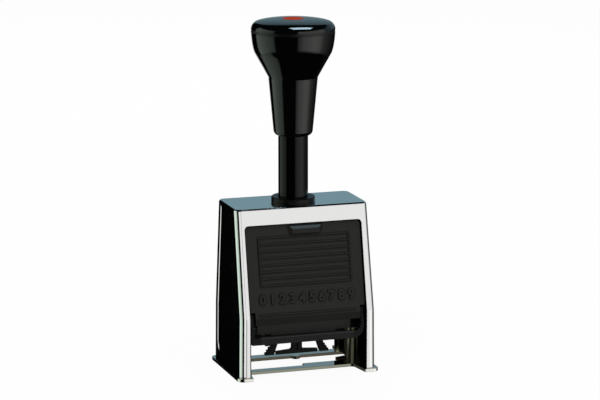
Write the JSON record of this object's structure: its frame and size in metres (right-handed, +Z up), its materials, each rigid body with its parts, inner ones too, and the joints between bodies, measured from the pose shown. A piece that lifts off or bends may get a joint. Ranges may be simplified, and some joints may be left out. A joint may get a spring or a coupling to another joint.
{
  "type": "numbering machine",
  "caption": "Upright hand numbering machine: pressing the black palm knob drives a sprung plunger that carries number wheels down through a chrome housing as the ink pad swings clear.",
  "frame": {"origin": "centre of the underside of the base plate", "axes": "+Z up along the plunger, -Y towards the front with its hinged cover, +X to the right seen from the front"},
  "size_m": [0.0738, 0.0506, 0.1769],
  "materials": {
    "chrome_shell": "mirror",
    "chrome_plate": "bright",
    "steel": "satin",
    "spring_steel": "satin",
    "brass": "satin",
    "wheel_brass": "satin",
    "black_gloss": "gloss",
    "red_gloss": "gloss",
    "grey_plastic": "matte",
    "black_plastic": "satin",
    "inked_felt": "matte",
    "buffer_rubber": "matte"
  },
  "bodies": {
    "frame": {"housing": "chrome_shell", "base_plate": "chrome_plate", "base_rivets": "steel", "guide_right": "chrome_plate", "guide_left": "chrome_plate", "collar": "black_gloss", "bush_nut": "steel", "bridge": "steel", "bridge_screws": "steel", "spring_post": "steel", "return_spring": "spring_steel", "pivot_shaft": "steel", "pivot_bushes": "brass", "rear_cover": "grey_plastic", "feed_cam": "steel", "feed_cam_screw": "steel"},
    "plunger": {"knob_body": "black_gloss", "knob_crown": "black_gloss", "knob_disc": "red_gloss", "knob_screw": "steel", "plunger_tube": "black_gloss", "buffer_washer": "buffer_rubber", "crosshead": "steel", "cheek_right": "steel", "cheek_left": "steel", "cheek_screws": "steel", "tie_rod": "steel", "slide_shoes": "black_plastic", "wheel_shaft": "steel", "shaft_nuts": "steel", "shaft_spacer_right": "steel", "shaft_spacer_left": "steel", "drive_pins": "steel", "detent_bar": "steel", "detent_comb": "spring_steel"},
    "pad_carrier": {"pad_carrier": "black_plastic", "ink_cartridge": "black_plastic", "ink_felt": "inked_felt"},
    "front_cover": {"front_cover": "grey_plastic"},
    "feed_lever": {"feed_lever": "steel"},
    "feed_pawl": {"feed_pawl": "steel"},
    "number_wheel_1": {"number_wheel_1": "wheel_brass"},
    "number_wheel_2": {"number_wheel_2": "wheel_brass"},
    "number_wheel_3": {"number_wheel_3": "wheel_brass"},
    "number_wheel_4": {"number_wheel_4": "wheel_brass"},
    "number_wheel_5": {"number_wheel_5": "wheel_brass"},
    "number_wheel_6": {"number_wheel_6": "wheel_brass"}
  },
  "joints": [
    {"name": "plunger_slide", "type": "slide", "parent": "frame", "child": "plunger", "axis": [0, 0, -1], "range_m": [0, 0.0209], "stiffness_N_per_m": 600, "springref_m": -0.03, "deforming": ["return_spring"]},
    {"name": "carrier_swing", "type": "hinge", "parent": "frame", "child": "pad_carrier", "pos_m": [0, -0.01906, 0.0319], "axis": [-1, 0, 0], "range_deg": [0, 65.2]},
    {"name": "cover_hinge", "type": "hinge", "parent": "frame", "child": "front_cover", "pos_m": [0, -0.01906, 0.0319], "axis": [-1, 0, 0], "range_deg": [-75, 0]},
    {"name": "feed_lever_swing", "type": "hinge", "parent": "plunger", "child": "feed_lever", "pos_m": [0, 0.00185, 0.0325], "axis": [1, 0, 0], "range_deg": [0, 40.2]},
    {"name": "feed_pawl_lift", "type": "hinge", "parent": "feed_lever", "child": "feed_pawl", "pos_m": [0, 0.01478, 0.04122], "axis": [1, 0, 0], "range_deg": [0, 8], "stiffness_Nm_per_rad": 0.02, "springref_deg": -8.59},
    {"name": "wheel_1_spin", "type": "hinge", "parent": "plunger", "child": "number_wheel_1", "pos_m": [0, 0.00185, 0.0325], "axis": [1, 0, 0], "continuous": true},
    {"name": "wheel_2_spin", "type": "hinge", "parent": "plunger", "child": "number_wheel_2", "pos_m": [0, 0.00185, 0.0325], "axis": [1, 0, 0], "continuous": true},
    {"name": "wheel_3_spin", "type": "hinge", "parent": "plunger", "child": "number_wheel_3", "pos_m": [0, 0.00185, 0.0325], "axis": [1, 0, 0], "continuous": true},
    {"name": "wheel_4_spin", "type": "hinge", "parent": "plunger", "child": "number_wheel_4", "pos_m": [0, 0.00185, 0.0325], "axis": [1, 0, 0], "continuous": true},
    {"name": "wheel_5_spin", "type": "hinge", "parent": "plunger", "child": "number_wheel_5", "pos_m": [0, 0.00185, 0.0325], "axis": [1, 0, 0], "continuous": true},
    {"name": "wheel_6_spin", "type": "hinge", "parent": "plunger", "child": "number_wheel_6", "pos_m": [0, 0.00185, 0.0325], "axis": [1, 0, 0], "continuous": true}
  ],
  "couplings": [
    {"joint": "carrier_swing", "follows": "plunger_slide", "rad_per_m": 54.281},
    {"joint": "feed_lever_swing", "follows": "plunger_slide", "rad_per_m": 33.403}
  ]
}
